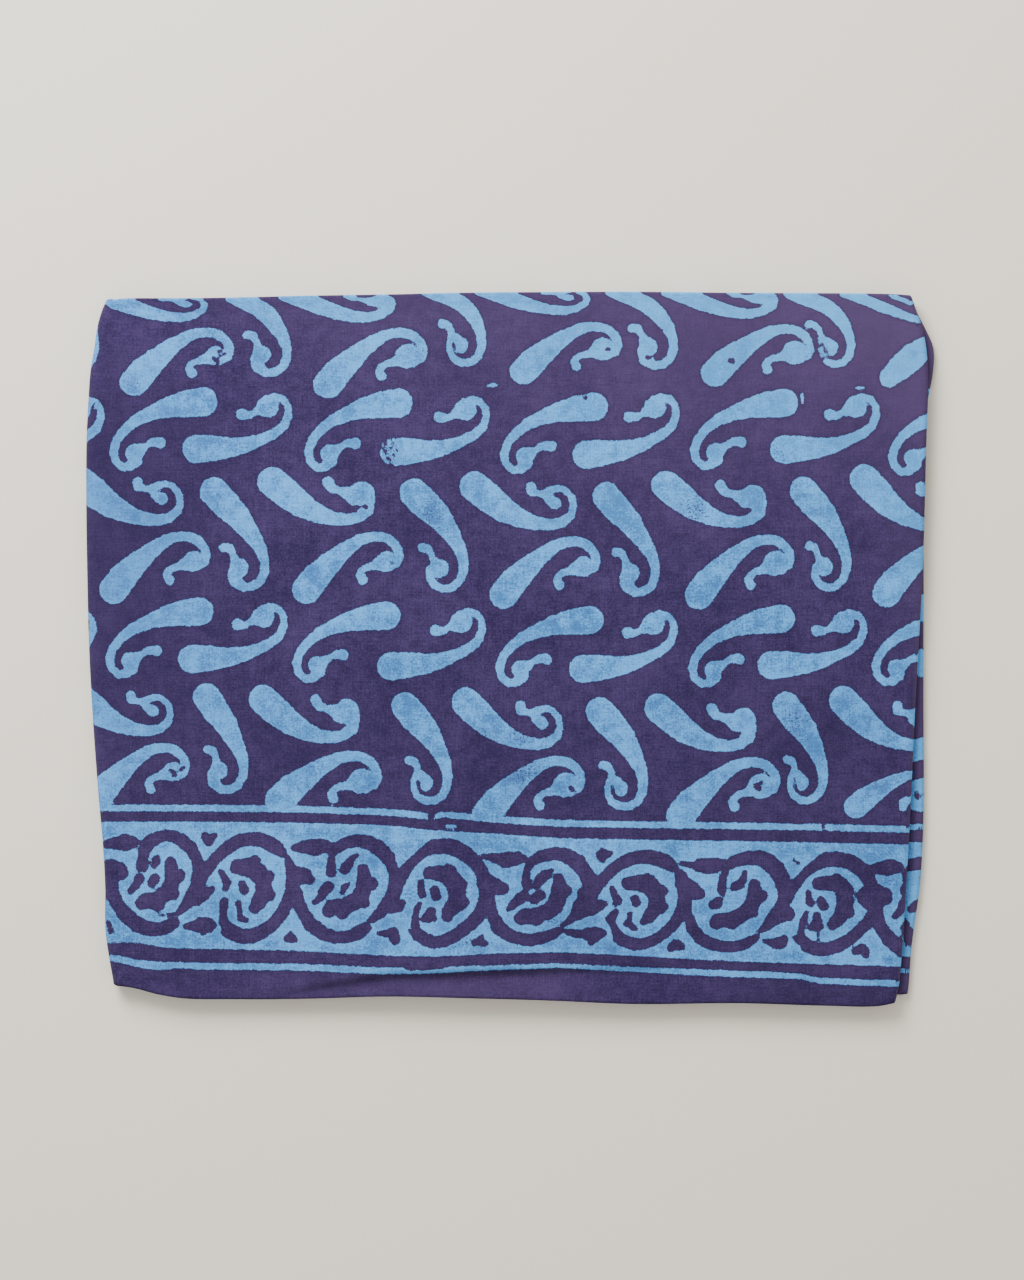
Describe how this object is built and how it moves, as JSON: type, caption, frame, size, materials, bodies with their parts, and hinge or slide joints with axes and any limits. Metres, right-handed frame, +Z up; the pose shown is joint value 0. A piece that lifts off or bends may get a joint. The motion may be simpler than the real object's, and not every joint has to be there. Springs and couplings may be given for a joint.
{
  "type": "folded dabu print fabric",
  "caption": "Length of mud-resist printed indigo cotton, doubled and book-folded into a flat rectangular stack that lies on a surface.",
  "frame": {"origin": "under the middle of the stack, on the surface that it lies on", "axes": "+X to the right across the front panel, +Y from the selvedges to the top fold, +Z up through the layers"},
  "size_m": [0.5434, 0.4576, 0.0179],
  "materials": {
    "printed_cotton": "matt plain-weave cotton, indigo ground with pale blue resist print"
  },
  "bodies": {
    "root": {"cloth": "printed_cotton"}
  },
  "joints": []
}
